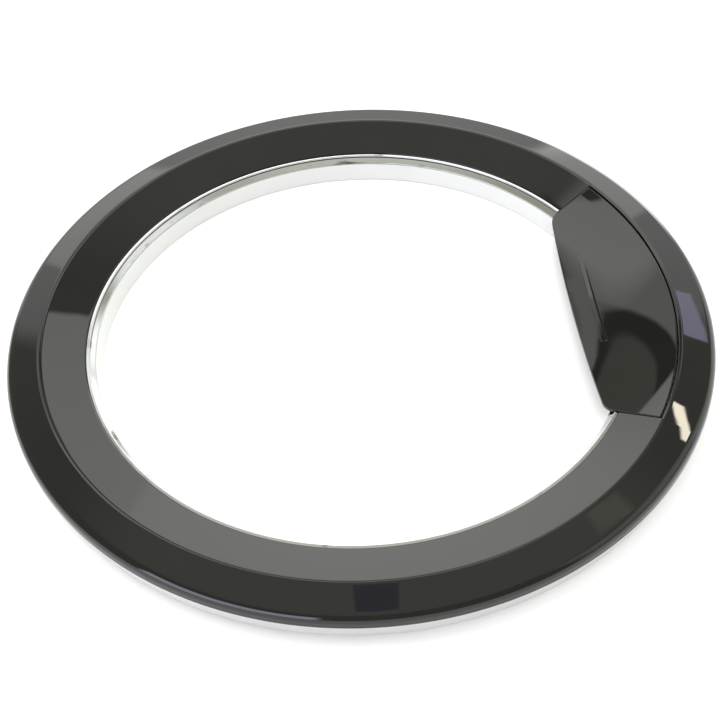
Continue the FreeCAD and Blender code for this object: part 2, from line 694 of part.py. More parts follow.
def rod(label, x, z, radius, reach):
    """A round bar across the handle, centred on its middle plane."""
    bar = doc.addObject("Part::Cylinder", label)
    bar.Label = label
    bar.setExpression("Radius", bind(radius))
    bar.setExpression("Height", bind(f"2 * ({reach})"))
    bar.Placement.Rotation = FreeCAD.Rotation(FreeCAD.Vector(1, 0, 0), -90)
    for axis, formula in (("x", x), ("y", f"0 - ({reach})"), ("z", z)):
        bar.setExpression(f"Placement.Base.{axis}", bind(formula))
    doc.recompute()
    return bar


def build_pin_clips():
    """Retaining rings outside the two bearings."""
    body = new_body("pin_clips")
    body.AllowCompound = True
    ring = new_sketch(body, "ClipRing", "XZ_Plane", "bearing_place + bearing_width")
    draw_circle(ring, "pivot_offset", "pivot_height", "clip_radius")
    draw_circle(ring, "pivot_offset", "pivot_height", "pivot_pin_radius + seat_play")
    mirror(body, [pad(body, ring, "Clip", "clip_wall")], "Clips")
    return body


def build_spring(label, x, z, start, pin_radius, wire, turns, leg):
    """A torsion spring round a pin, its two straight legs lying along the door's radius."""
    coil_radius = f"({pin_radius} + spring_play + {wire} / 2)"
    pitch = f"({wire} * coil_pitch)"
    spine = doc.addObject("Part::Helix", f"{label}_spine")
    spine.setExpression("Radius", bind(coil_radius))
    spine.setExpression("Pitch", bind(pitch))
    spine.setExpression("Height", bind(f"{pitch} * {turns}"))
    section = doc.addObject("Part::Circle", f"{label}_section")
    section.setExpression("Radius", bind(f"{wire} / 2"))
    section.setExpression("Placement.Base.x", bind(coil_radius))
    section.Placement.Rotation = FreeCAD.Rotation(FreeCAD.Vector(1, 0, 0), 90)
    coil = doc.addObject("Part::Sweep", f"{label}_coil")
    coil.Sections = [section]
    coil.Spine = (spine, ["Edge1"])
    coil.Solid = True
    coil.Frenet = True
    legs = []
    for end, height, turn in (("first", "0", 90), ("last", f"{pitch} * {turns}", -90)):
        straight = doc.addObject("Part::Cylinder", f"{label}_{end}_leg")
        straight.setExpression("Radius", bind(f"{wire} / 2"))
        straight.setExpression("Height", bind(leg))
        straight.setExpression("Placement.Base.x", bind(coil_radius))
        straight.setExpression("Placement.Base.z", bind(height))
        straight.Placement.Rotation = FreeCAD.Rotation(FreeCAD.Vector(1, 0, 0), turn)
        legs.append(straight)
    spring = doc.addObject("Part::MultiFuse", label)
    spring.Label = label
    spring.Shapes = [coil] + legs
    down, inwards, across = FreeCAD.Vector(0, 0, -1), FreeCAD.Vector(-1, 0, 0), FreeCAD.Vector(0, 1, 0)
    towards_floor = FreeCAD.Rotation(down, inwards, across, "XYZ")
    spring.Placement.Rotation = towards_floor
    for axis, formula in (("x", x), ("y", start), ("z", z)):
        spring.setExpression(f"Placement.Base.{axis}", bind(formula))
    doc.recompute()
    return spring


def build_catch_housing():
    """Two cheeks that carry the catch, joined by a bridge beyond the latch slot, with screw ears."""
    body = new_body("catch_housing")
    bridge = new_sketch(body, "CheekBridge", "XY_Plane", "back_floor")
    far = "(catch_offset + cheek_foot_out)"
    draw_rectangle(bridge, SLOT_END, far, f"0 - {CHEEK_OUTSIDE}", CHEEK_OUTSIDE)
    pad(body, bridge, "Bridge", "cheek_bridge")
    foot = new_sketch(body, "CheekOutline", "XZ_Plane", CHEEK_INSIDE)
    draw_outline(foot, [
        ("catch_offset - cheek_foot_in", "back_floor"),
        (far, "back_floor"),
        (far, "back_floor + cheek_bridge"),
        ("catch_offset + cheek_round", "catch_height"),
        ("catch_offset - cheek_round", "catch_height"),
    ])
    cheek = pad(body, foot, "Cheek", "cheek_wall")
    top = new_sketch(body, "CheekRound", "XZ_Plane", CHEEK_INSIDE)
    draw_circle(top, "catch_offset", "catch_height", "cheek_round")
    rounding = pad(body, top, "CheekTop", "cheek_wall")
    ear = new_sketch(body, "EarOutline", "XY_Plane", "back_floor")
    draw_rectangle(ear, "catch_offset - cheek_foot_in", far, f"0 - {CHEEK_OUTSIDE} - cheek_ear",
                   f"0 - {CHEEK_OUTSIDE}")
    mirror(body, [cheek, rounding, pad(body, ear, "Ear", "cheek_ear_wall")], "Cheeks")
    bore = new_sketch(body, "CheekBore", "XZ_Plane")
    draw_circle(bore, "catch_offset", "catch_height", "catch_pin_radius + seat_play")
    pocket(body, bore, "CheekBoreCut")
    pilots = new_sketch(body, "EarPilots", "XY_Plane")
    for x, y in CATCH_SCREWS:
        draw_circle(pilots, x, y, "pilot_radius")
    pocket(body, pilots, "EarPilotsCut")
    return body


def build_catch_hook():
    """Catch: a hub, an arm that the handle's finger pushes and a nose over the latch slot."""
    body = new_body("catch_hook")
    arm = new_sketch(body, "CatchOutline", "XZ_Plane")
    tip = "(catch_offset + catch_nose_length)"
    draw_outline(arm, [
        (f"{CATCH_FACE} - catch_arm_wall", "catch_nose_low"),
        (tip, "catch_nose_low"),
        (f"{tip} - catch_nose_bevel", "catch_nose_low + catch_nose_wall"),
        (CATCH_FACE, "catch_nose_low + catch_nose_wall"),
        (CATCH_FACE, "finger_low + catch_play"),
        (f"{CATCH_FACE} - catch_arm_relief", "catch_height"),
        (f"{CATCH_FACE} - catch_arm_wall", "catch_height"),
    ])
    pad(body, arm, "CatchArm", "catch_width", both_ways=True)
    hub = new_sketch(body, "CatchHub", "XZ_Plane", "0 - catch_width / 2")
    draw_circle(hub, "catch_offset", "catch_height", "catch_hub_radius")
    pad(body, hub, "CatchHubPad", f"catch_width / 2 + {CHEEK_INSIDE} - catch_play")
    bore = new_sketch(body, "CatchBore", "XZ_Plane")
    draw_circle(bore, "catch_offset", "catch_height", "catch_pin_radius + running_play")
    pocket(body, bore, "CatchBoreCut")
    return body


def build_hinge_plate():
    """Steel plate behind the hinge side, tapped for the hinge's two bolts."""
    body = new_body("hinge_plate")
    section = new_sketch(body, "HingePlateSection", "XZ_Plane")
    draw_rectangle(section, "hinge_hole_circle - hinge_plate_half_width",
                   "hinge_hole_circle + hinge_plate_half_width", "back_floor",
                   "back_floor + hinge_plate_wall")
    revolve(body, section, "HingePlateSweep", "hinge_plate_half_angle")
    holes = new_sketch(body, "HingePlateHoles", "XY_Plane")
    draw_circle(holes, "hinge_hole_circle", "0", "pilot_radius")
    for side in ("hinge_hole_spacing / 2", "0 - hinge_hole_spacing / 2"):
        draw_circle(holes, "hinge_hole_circle", side, "hinge_thread_radius")
    pocket(body, holes, "HingePlateHolesCut")
    body.Placement.Rotation = FreeCAD.Rotation(FreeCAD.Vector(0, 0, 1), 180)
    return body


def build_screws(label, places, length):
    """A group of equal screws driven from the back, each with a flat head in its sink."""
    body = new_body(label)
    body.AllowCompound = True
    heads = new_sketch(body, f"{label}_heads", "XY_Plane", "screw_sunk - screw_head")
    shanks = new_sketch(body, f"{label}_shanks", "XY_Plane", "screw_sunk")
    for x, y in places:
        draw_circle(heads, x, y, "screw_head_radius")
        draw_circle(shanks, x, y, "pilot_radius - screw_play")
    return body, [pad(body, heads, f"{label}_head_pad", "screw_head"),
                  pad(body, shanks, f"{label}_shank_pad", length)]


def main():
    """Builds every piece, checks it and writes its file."""
    frame_screws, driven = build_screws("frame_screws", [(BOSS_X, BOSS_Y)], "screw_length")
    circular_pattern(frame_screws, driven, "FrameScrews", BOSS_SWEEP, "boss_count")
    fixing_screws, driven = build_screws("fixing_screws", BRACKET_SCREWS + CATCH_SCREWS + HINGE_SCREWS,
                                         "short_screw_length")
    pieces = [build_outer_frame(), build_inner_frame(), build_trim_ring(), build_handle_cover(),
              build_handle_lever(), *build_bearing_brackets(), build_pin_clips(), build_catch_housing(),
              build_catch_hook(), build_hinge_plate(), frame_screws, fixing_screws,
              rod("handle_pin", "pivot_offset", "pivot_height", "pivot_pin_radius", PIN_REACH),
              rod("catch_pin", "catch_offset", "catch_height", "catch_pin_radius", CHEEK_OUTSIDE),
              build_spring("handle_spring", "pivot_offset", "pivot_height", "spring_place",
                           "pivot_pin_radius", "spring_wire", "spring_turns", "spring_leg"),
              build_spring("catch_spring", "catch_offset", "catch_height",
                           "catch_width / 2 + catch_play + catch_spring_wire / 2", "catch_pin_radius",
                           "catch_spring_wire", "catch_spring_turns", "catch_spring_leg")]
    doc.recompute()
    for item in doc.Objects:
        if {"Invalid", "Error"} & set(item.State):
            raise RuntimeError(f"{item.Label} failed: {item.State}")
    for piece in pieces:
        if piece.Shape.isNull() or not piece.Shape.isValid():
            raise RuntimeError(f"{piece.Label} has no valid shape")
    os.makedirs("parts", exist_ok=True)
    for piece in pieces:
        piece.Shape.exportStep(f"parts/{piece.Label}.step")
        print(piece.Label, len(piece.Shape.Solids), round(piece.Shape.Volume), piece.Shape.BoundBox)


main()
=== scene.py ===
# %% [markdown]
# # A round washing machine door, lying on its back
# The solids of the door come in as a fixed frame, in metres, with +Z out of the front and the handle
# on the +X side. The lesson dresses them: smooth, high-gloss mouldings need finer surfaces than the
# solids have, because a mirror finish shows every facet. Each step says what the piece is on the real
# door, how it could be made, and why one way was chosen.

# %% The frame
import json
import math

import bmesh
import bpy
import numpy as np
from mathutils import Matrix, Vector


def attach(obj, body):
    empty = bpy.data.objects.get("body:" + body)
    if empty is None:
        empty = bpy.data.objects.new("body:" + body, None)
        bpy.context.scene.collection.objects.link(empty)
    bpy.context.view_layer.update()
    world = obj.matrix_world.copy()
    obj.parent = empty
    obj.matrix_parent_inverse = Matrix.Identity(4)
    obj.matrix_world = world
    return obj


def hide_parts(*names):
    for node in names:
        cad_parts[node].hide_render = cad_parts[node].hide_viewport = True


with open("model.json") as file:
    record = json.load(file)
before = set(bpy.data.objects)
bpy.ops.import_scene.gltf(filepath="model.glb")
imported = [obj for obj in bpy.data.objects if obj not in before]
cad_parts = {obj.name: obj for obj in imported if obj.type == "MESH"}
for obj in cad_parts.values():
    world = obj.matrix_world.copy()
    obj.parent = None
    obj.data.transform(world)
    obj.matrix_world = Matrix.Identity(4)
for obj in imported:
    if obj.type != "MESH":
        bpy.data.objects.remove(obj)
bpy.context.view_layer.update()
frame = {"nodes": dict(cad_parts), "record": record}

# %% [markdown]
# ## The camera
# The picture was taken from about 45 degrees above the table, with a lens near 75 mm on a 36 mm
# sensor, a metre away, and the camera leaned about 3 degrees, so that the right side stands higher.
# A Track To constraint would only aim at a point. Here the axes are worked out one turn at a time,
# which also takes in the lean and the place of the ring in the picture of 720 by 720 pixels.

# %% Camera
scene = bpy.context.scene
PICTURE = 720
FOCAL = 1500.0
RING_CENTRE = (360.83, 325.16)


def turned(first, second, angle):
    """Two axes turned in their own plane: each keeps its cosine and takes a sine of the other."""
    cosine, sine = math.cos(angle), math.sin(angle)
    return first * cosine + second * sine, second * cosine - first * sine


def aim_camera(distance, elevation, bearing, lean, level):
    """Camera axes from its height and bearing, then yaw and pitch to the ring's pixel, then the lean."""
    up, out = math.radians(elevation), math.radians(bearing)
    back = Vector((math.cos(up) * math.cos(out), math.cos(up) * math.sin(out), math.sin(up)))
    ahead = -back
    right = ahead.cross(Vector((0, 0, 1))).normalized()
    down = ahead.cross(right)
    right, ahead = turned(right, ahead, math.atan((RING_CENTRE[0] - PICTURE / 2) / FOCAL))
    down, ahead = turned(down, ahead, math.atan((RING_CENTRE[1] - PICTURE / 2) / FOCAL))
    right, down = turned(right, down, -math.radians(lean))
    place = Matrix((right, -down, -ahead)).transposed().to_4x4()
    place.translation = Vector((0, 0, level)) + back * distance
    return place


lens = bpy.data.cameras.new("picture_lens")
lens.sensor_width = 36.0
lens.lens = FOCAL * lens.sensor_width / PICTURE
camera = bpy.data.objects.new("picture_camera", lens)
camera.matrix_world = aim_camera(distance=1.0055, elevation=45.339, bearing=-93.35, lean=-3.056,
                                 level=0.0195)
scene.collection.objects.link(camera)
scene.camera = camera
print("camera at", [round(v, 3) for v in camera.location])

# %% [markdown]
# ## Colours and nodes
# Colours are written as they are picked from a screen, in sRGB, and turned to the linear values that
# a renderer adds up. One helper adds a shader node with its settings and its links, so that a finish
# reads as a short list. In the Mix node for colours, inputs 0, 6 and 7 are the factor and the two
# colours, and output 2 is the mixed one.


# %% Colour and node helpers
def colour(code):
    """Linear colour of an sRGB hex code: a straight foot, then a power of 2.4."""
    channels = np.array([int(code[start:start + 2], 16) for start in (0, 2, 4)]) / 255
    linear = np.where(channels <= 0.04045, channels / 12.92, ((channels + 0.055) / 1.055) ** 2.4)
    return (*linear.tolist(), 1.0)


def add(tree, kind, feeds=None, **settings):
    """Adds a node: settings are its own properties, feeds fill its inputs with values or outputs."""
    node = tree.nodes.new(kind)
    for name, value in settings.items():
        setattr(node, name, value)
    for name, value in (feeds or {}).items():
        if isinstance(value, bpy.types.NodeSocket):
            tree.links.new(value, node.inputs[name])
        else:
            node.inputs[name].default_value = value
    return node


def start_finish(name):
    """A new material: its tree, its surface shader and its Object coordinates."""
    finish = bpy.data.materials.new(name)
    finish.use_nodes = True
    tree = finish.node_tree
    place = add(tree, "ShaderNodeTexCoord").outputs["Object"]
    return finish, tree, tree.nodes["Principled BSDF"], place


def per_metre(millimetres):
    """Texture scale whose features are that many millimetres across."""
    return 1000.0 / millimetres


print("sRGB 808080 is linear", round(colour("808080")[0], 3))

# %% [markdown]
# ## The table
# The door lies on a white laminate table. A box could be the table, but only its top is ever seen,
# so one square face is enough.

# %% Table
TABLE_HALF = 6.0


def build_table():
    """A plain pale table top, well past the picture's edges."""
    corners = [(-TABLE_HALF, -TABLE_HALF, 0), (TABLE_HALF, -TABLE_HALF, 0),
               (TABLE_HALF, TABLE_HALF, 0), (-TABLE_HALF, TABLE_HALF, 0)]
    mesh = bpy.data.meshes.new("table_top")
    mesh.from_pydata(corners, [], [(0, 1, 2, 3)])
    table = bpy.data.objects.new("table_top", mesh)
    scene.collection.objects.link(table)
    finish, tree, shader, place = start_finish("white_laminate")
    speck = add(tree, "ShaderNodeTexNoise", {"Vector": place, "Scale": per_metre(40), "Detail": 3.0})
    tint = add(tree, "ShaderNodeMix", {0: speck.outputs["Fac"], 6: colour("F4F4F2"), 7: colour("F8F8F7")},
               data_type="RGBA")
    tree.links.new(tint.outputs[2], shader.inputs["Base Color"])
    shader.inputs["Roughness"].default_value = 0.6
    mesh.materials.append(finish)


build_table()
print("table of", 2 * TABLE_HALF, "m")

# %% [markdown]
# ## The lamps
# Soft light from above brightens the table, and two weak lamps beside it lift the shadows. Sun lamps
# would throw hard edges, and large square lamps do not. All three are kept out of reflections,
# because the gloss shows a room instead.


# %% Lamps
def hang_lamp(name, place, side, watts, tint):
    """A square lamp that faces the middle of the table and is not seen itself."""
    light = bpy.data.lights.new(name, "AREA")
    light.size = side
    light.energy = watts
    light.color = colour(tint)[:3]
    lamp = bpy.data.objects.new(name, light)
    lamp.location = place
    lamp.rotation_euler = (-lamp.location).to_track_quat("-Z", "Y").to_euler()
    lamp.visible_glossy = False
    lamp.visible_camera = False
    scene.collection.objects.link(lamp)
    return lamp


lamps = [hang_lamp("table_lamp", (0, 0.1, 2.6), 5.0, 85, "F4F4FF"),
         hang_lamp("left_fill", (-1.6, 0.6, 2.0), 1.6, 27, "FFFFFF"),
         hang_lamp("right_fill", (2.1, 0.3, 0.9), 1.4, 14, "FFFFFF")]
scene.view_settings.view_transform = "Standard"
scene.view_settings.look = "None"
print("lamps:", [(lamp.name, lamp.data.energy) for lamp in lamps])

# %% [markdown]
# ## The room
# High gloss shows the room more than the lamps, so the room is drawn too. A photographed panorama
# would be the quick way, but it is one more file, and it brings its own scene along. Here the world is
# a plain shade with soft-edged panels laid over it: walls, a skylight, windows, and a round dark
# screen that the handle mirrors. Each panel has a place in degrees, as a bearing (0 is away from the
# camera, to the right is more) and a height. A panel can lean: its bearing then grows with the height.


# %% Room helpers
def glow(tint, strength):
    """A tint brightened or dimmed by a factor."""
    return [channel * strength for channel in colour(tint)[:3]] + [1.0]


def compass(tree):
    """Direction as a vector of bearing, height and 1, in degrees: atan2(x, y) and asin(z)."""
    way = add(tree, "ShaderNodeTexCoord").outputs["Generated"]
    part = add(tree, "ShaderNodeSeparateXYZ", {"Vector": way}).outputs
    turn = add(tree, "ShaderNodeMath", {0: part["X"], 1: part["Y"]}, operation="ARCTAN2")
    rise = add(tree, "ShaderNodeMath", {0: part["Z"]}, operation="ARCSINE")
    bearing = add(tree, "ShaderNodeMath", {0: turn.outputs[0]}, operation="DEGREES")
    height = add(tree, "ShaderNodeMath", {0: rise.outputs[0]}, operation="DEGREES")
    return add(tree, "ShaderNodeCombineXYZ",
               {"X": bearing.outputs[0], "Y": height.outputs[0], "Z": 1.0}).outputs[0]


def panel_reach(tree, shape, spot, half):
    """Reach of a direction and where the panel ends: a disc has a squeezed length and its radius, a box
    the larger distance past a side and 0."""
    if shape == "disc":
        squeezed = add(tree, "ShaderNodeVectorMath", {0: spot, 1: (half[1] / half[0], 1, 0)},
                       operation="MULTIPLY")
        length = add(tree, "ShaderNodeVectorMath", {0: squeezed.outputs[0]}, operation="LENGTH")
        return length.outputs["Value"], half[1]
    mirrored = add(tree, "ShaderNodeVectorMath", {0: spot}, operation="ABSOLUTE")
    beyond = add(tree, "ShaderNodeVectorMath", {0: mirrored.outputs[0], 1: (*half, 0)}, operation="SUBTRACT")
    sides = add(tree, "ShaderNodeSeparateXYZ", {"Vector": beyond.outputs[0]}).outputs
    larger = add(tree, "ShaderNodeMath", {0: sides["X"], 1: sides["Y"]}, operation="MAXIMUM")
    return larger.outputs[0], 0.0


def build_room(shade, panels):
    """World light by direction: each panel hides what lies under it and fades out at its edge."""
    room = bpy.data.worlds.new("studio_room")
    scene.world = room
    room.use_nodes = True
    tree = room.node_tree
    way = compass(tree)
    light = glow(*shade)
    for name, shape, (aside, up), lean, half, soft, tint, strength in panels:
        across = add(tree, "ShaderNodeVectorMath", {0: way, 1: (1, -lean, lean * up - aside)},
                     operation="DOT_PRODUCT")
        along = add(tree, "ShaderNodeVectorMath", {0: way, 1: (0, 1, -up)}, operation="DOT_PRODUCT")
        spot = add(tree, "ShaderNodeCombineXYZ",
                   {"X": across.outputs["Value"], "Y": along.outputs["Value"]}).outputs[0]
        reach, edge = panel_reach(tree, shape, spot, half)
        cover = add(tree, "ShaderNodeMapRange",
                    {"Value": reach, "From Min": edge - soft, "From Max": edge + soft,
                     "To Min": 1.0, "To Max": 0.0}, interpolation_type="SMOOTHSTEP")
        light = add(tree, "ShaderNodeMix", {0: cover.outputs["Result"], 6: light, 7: glow(tint, strength)},
                    data_type="RGBA", label=name).outputs[2]
    tree.links.new(light, tree.nodes["Background"].inputs["Color"])


print("white at half strength:", glow("FFFFFF", 0.5))

# %% Room
# Name, shape, (bearing, height), lean, half sizes, soft edge, tint, brightness
ROOM = [
    ("ceiling", "box", (0, 78), 0, (200, 22), 8.0, "FFFFF0", 0.72),
    ("ceiling_vent", "box", (5, 85), 0, (13, 5.5), 1.2, "EAE6FF", 0.45),
    ("right_wall", "box", (95, 30), 0, (30, 20), 6.0, "FFFFFC", 1.2),
    ("low_wall", "box", (22, -4), 0, (60, 28), 3.0, "FFFFFC", 1.6),
    ("far_wall", "box", (4.5, 8), 0, (36.5, 28), 1.5, "FFFFFC", 1.22),
    ("top_of_wall", "box", (-9, 43), 0, (23, 6), 2.0, "FFFFFA", 1.4),
    ("skylight", "box", (-9, 52.3), 0, (23, 5), 1.6, "FFFFFA", 2.35),
    ("skylight_bar", "box", (-23, 58), 0, (4.5, 1.7), 0.4, "FFFFF0", 0.3),
    ("screen_border", "disc", (2, 38.2), 0, (15, 8.25), 0.3, "FFFFE8", 0.18),
    ("screen", "disc", (3, 38.4), 0, (11, 6.8), 0.4, "FFFFE8", 0.58),
    ("white_board", "box", (2.2, 26), 0, (26.9, 9.7), 0.4, "FFFFFA", 2.1),
    ("board_middle", "disc", (2, 25), 0, (14, 9), 4.0, "FFFFFC", 2.5),
    ("side_board", "box", (21.4, 38), 0.64, (8.0, 8.5), 0.35, "FFFFFA", 2.15),
    ("low_window", "box", (28, 3), 0, (7, 12), 3.0, "FFFFFF", 7.0),
    ("blue_window", "box", (39.6, 33.9), 0.95, (0.85, 2.5), 0.15, "E6E2FF", 2.9),
    ("strip_lamp", "box", (49.3, 46.4), 1.0, (0.4, 1.7), 0.15, "FFF6E0", 17.0),
    ("shelf", "box", (54.8, 60), 0, (1.2, 2.2), 0.6, "FFFFE8", 1.05),
    ("rear_window", "box", (-138, 12), 0, (24, 14), 1.5, "ECE9FF", 4.5),
]
build_room(("FFFFE8", 0.42), ROOM)
print("room of", len(ROOM), "panels")

# %% [markdown]
# ## High-gloss black ABS
# The front ring and the handle are moulded in a polished tool, so they are almost black mirrors.
# A plain glossy shader would be too perfect. One noise changes the shade a little, one leaves wiping
# marks in the roughness, and one gives the slight waviness of a moulded face.

# %% High-gloss black ABS
FINISHES = {}


def gloss_black_abs():
    """Polished moulding: near-black, clear reflections that waver a little over 26 mm."""
    finish, tree, shader, place = start_finish("gloss_black_ABS")
    cloud = add(tree, "ShaderNodeTexNoise", {"Vector": place, "Scale": per_metre(35), "Detail": 2.0})
    tint = add(tree, "ShaderNodeMix", {0: cloud.outputs["Fac"], 6: colour("0B0B0C"), 7: colour("111112")},
               data_type="RGBA")
    tree.links.new(tint.outputs[2], shader.inputs["Base Color"])
    wipe = add(tree, "ShaderNodeTexNoise",
               {"Vector": place, "Scale": per_metre(2.5), "Detail": 6.0, "Roughness": 0.7})
    gloss = add(tree, "ShaderNodeMapRange",
                {"Value": wipe.outputs["Fac"], "From Min": 0.35, "From Max": 0.8,
                 "To Min": 0.004, "To Max": 0.022})
    tree.links.new(gloss.outputs["Result"], shader.inputs["Roughness"])
    wave = add(tree, "ShaderNodeTexNoise", {"Vector": place, "Scale": per_metre(26), "Detail": 1.5})
    relief = add(tree, "ShaderNodeBump",
                 {"Height": wave.outputs["Fac"], "Strength": 1.0, "Distance": 0.000025})
    tree.links.new(relief.outputs["Normal"], shader.inputs["Normal"])
    shader.inputs["IOR"].default_value = 1.53
    return finish


FINISHES["gloss_black"] = gloss_black_abs()
print("finish:", FINISHES["gloss_black"].name)

# %% [markdown]
# ## Satin white polypropylene
# The back frame comes from an etched tool, which leaves a fine grain and a soft sheen. A displaced
# mesh could carry the grain, but it would need millions of faces, so a bump does it.


# %% Satin white polypropylene
def white_polypropylene():
    """Etched tool, so a soft sheen with a grain of a third of a millimetre, drawn at 0.8 to show."""
    finish, tree, shader, place = start_finish("satin_white_polypropylene")
    flow = add(tree, "ShaderNodeTexNoise", {"Vector": place, "Scale": per_metre(60), "Detail": 2.0})
    tint = add(tree, "ShaderNodeMix", {0: flow.outputs["Fac"], 6: colour("CCCECB"), 7: colour("D4D5D2")},
               data_type="RGBA")
    tree.links.new(tint.outputs[2], shader.inputs["Base Color"])
    grain = add(tree, "ShaderNodeTexNoise", {"Vector": place, "Scale": per_metre(0.8), "Detail": 3.0})
    sheen = add(tree, "ShaderNodeMapRange", {"Value": grain.outputs["Fac"], "To Min": 0.32, "To Max": 0.5})
    tree.links.new(sheen.outputs["Result"], shader.inputs["Roughness"])
    relief = add(tree, "ShaderNodeBump",
                 {"Height": grain.outputs["Fac"], "Strength": 0.25, "Distance": 0.0001})
    tree.links.new(relief.outputs["Normal"], shader.inputs["Normal"])
    shader.inputs["IOR"].default_value = 1.49
    return finish


FINISHES["white_plastic"] = white_polypropylene()
print("finish:", FINISHES["white_plastic"].name)

# %% [markdown]
# ## Bright plated trim
# The trim is plastic under a thin layer of chromium: a mirror with a faint haze. A plain metal shader
# would do from far away. Nearer, dull stains run along the ring. Their noise is laid out on the ring
# as if it were unrolled, by the turn round the axis and the height.

# %% Bright plated trim
TRIM_ROUND = 1140
STAIN_LENGTH, STAIN_HEIGHT = 22, 3


def plated_trim():
    """Chromium over polished plastic: a grey mirror with a faint haze and dull stains along the ring."""
    finish, tree, shader, place = start_finish("bright_plated_plastic")
    haze = add(tree, "ShaderNodeTexNoise", {"Vector": place, "Scale": per_metre(12), "Detail": 4.0})
    gloss = add(tree, "ShaderNodeMapRange",
                {"Value": haze.outputs["Fac"], "From Min": 0.3, "From Max": 0.75,
                 "To Min": 0.07, "To Max": 0.16})
    tree.links.new(gloss.outputs["Result"], shader.inputs["Roughness"])
    tint = add(tree, "ShaderNodeMix", {0: haze.outputs["Fac"], 6: colour("C8CBCC"), 7: colour("D4D6D6")},
               data_type="RGBA")
    turn = add(tree, "ShaderNodeTexGradient", {"Vector": place}, gradient_type="RADIAL").outputs["Fac"]
    height = add(tree, "ShaderNodeSeparateXYZ", {"Vector": place}).outputs["Z"]
    along = add(tree, "ShaderNodeMath", {0: turn, 1: TRIM_ROUND / STAIN_LENGTH}, operation="MULTIPLY")
    upward = add(tree, "ShaderNodeMath", {0: height, 1: per_metre(STAIN_HEIGHT)}, operation="MULTIPLY")
    unrolled = add(tree, "ShaderNodeCombineXYZ", {"X": along.outputs[0], "Z": upward.outputs[0]})
    stain = add(tree, "ShaderNodeTexNoise", {"Vector": unrolled.outputs[0], "Scale": 1.0, "Detail": 5.0})
    spread = add(tree, "ShaderNodeMapRange",
                 {"Value": stain.outputs["Fac"], "From Min": 0.6, "From Max": 0.72})
    worn = add(tree, "ShaderNodeMix",
               {0: spread.outputs["Result"], 6: tint.outputs[2], 7: colour("6C7674")}, data_type="RGBA")
    tree.links.new(worn.outputs[2], shader.inputs["Base Color"])
    shader.inputs["Metallic"].default_value = 1.0
    return finish


FINISHES["bright_trim"] = plated_trim()
print("finish:", FINISHES["bright_trim"].name)

# %% [markdown]
# ## Glass-filled black polyamide
# The lever, the brackets and the catch's housing are strong, dull mouldings. Their streaks could be
# drawn one by one, but they are hardly seen, so a distorted noise and a fine one are enough.


# %% Glass-filled black polyamide
def black_polyamide():
    """Short fibres near the skin give a dull black with a streaked, slightly rough surface."""
    finish, tree, shader, place = start_finish("glass_filled_black_polyamide")
    streak = add(tree, "ShaderNodeTexNoise",
                 {"Vector": place, "Scale": per_metre(3), "Detail": 5.0, "Distortion": 1.2})
    tint = add(tree, "ShaderNodeMix", {0: streak.outputs["Fac"], 6: colour("17181A"), 7: colour("232427")},
               data_type="RGBA")
    tree.links.new(tint.outputs[2], shader.inputs["Base Color"])
    fibre = add(tree, "ShaderNodeTexNoise", {"Vector": place, "Scale": per_metre(0.5), "Detail": 3.0})
    dull = add(tree, "ShaderNodeMapRange", {"Value": fibre.outputs["Fac"], "To Min": 0.48, "To Max": 0.68})
    tree.links.new(dull.outputs["Result"], shader.inputs["Roughness"])
    relief = add(tree, "ShaderNodeBump",
                 {"Height": fibre.outputs["Fac"], "Strength": 0.35, "Distance": 0.00008})
    tree.links.new(relief.outputs["Normal"], shader.inputs["Normal"])
    return finish


FINISHES["matte_black"] = black_polyamide()
print("finish:", FINISHES["matte_black"].name)

# %% [markdown]
# ## Zinc-plated steel
# Screws, pins, the hook and the hinge plate are plated with zinc against rust. Zinc grows in small
# crystals. A noise could stand for them, but a cell texture gives their patches directly.


# %% Zinc-plated steel
def zinc_plated_steel():
    """Bright zinc: grey metal with small crystal patches a millimetre or two across."""
    finish, tree, shader, place = start_finish("zinc_plated_steel")
    crystal = add(tree, "ShaderNodeTexVoronoi", {"Vector": place, "Scale": per_metre(1.6)})
    patch = crystal.outputs["Distance"]
    tint = add(tree, "ShaderNodeMix", {0: patch, 6: colour("B9BBBB"), 7: colour("9EA0A1")},
               data_type="RGBA")
    tree.links.new(tint.outputs[2], shader.inputs["Base Color"])
    dull = add(tree, "ShaderNodeMapRange", {"Value": patch, "To Min": 0.26, "To Max": 0.42})
    tree.links.new(dull.outputs["Result"], shader.inputs["Roughness"])
    shader.inputs["Metallic"].default_value = 1.0
    return finish


FINISHES["steel"] = zinc_plated_steel()
print("finish:", FINISHES["steel"].name)

# %% [markdown]
# ## Drawn spring steel
# Springs and clips are drawn wire, darker than the zinc. Lines along the wire would need a map of its
# path. At this size a fine noise looks the same.


# %% Drawn spring steel
def spring_steel():
    """Oiled wire: darker metal, with fine marks left by the drawing die."""
    finish, tree, shader, place = start_finish("drawn_spring_steel")
    mark = add(tree, "ShaderNodeTexNoise", {"Vector": place, "Scale": per_metre(0.6), "Detail": 4.0})
    tint = add(tree, "ShaderNodeMix", {0: mark.outputs["Fac"], 6: colour("6A6C70"), 7: colour("86888B")},
               data_type="RGBA")
    tree.links.new(tint.outputs[2], shader.inputs["Base Color"])
    dull = add(tree, "ShaderNodeMapRange", {"Value": mark.outputs["Fac"], "To Min": 0.25, "To Max": 0.45})
    tree.links.new(dull.outputs["Result"], shader.inputs["Roughness"])
    shader.inputs["Metallic"].default_value = 1.0
    return finish


FINISHES["spring_steel"] = spring_steel()
print("finish:", FINISHES["spring_steel"].name)

# %% [markdown]
# ## Finishes on the solids
# The record names a finish for every node. The back frame and the pieces inside the door keep their
# solids, so these get their finish here. Setting each by hand would do too, but then a change of the
# record is missed.

# %% Finishes on the solids
for part in frame["record"]["subparts"]:
    frame["nodes"][part["node"]].material_slots[0].material = FINISHES[part["material_slot"]]

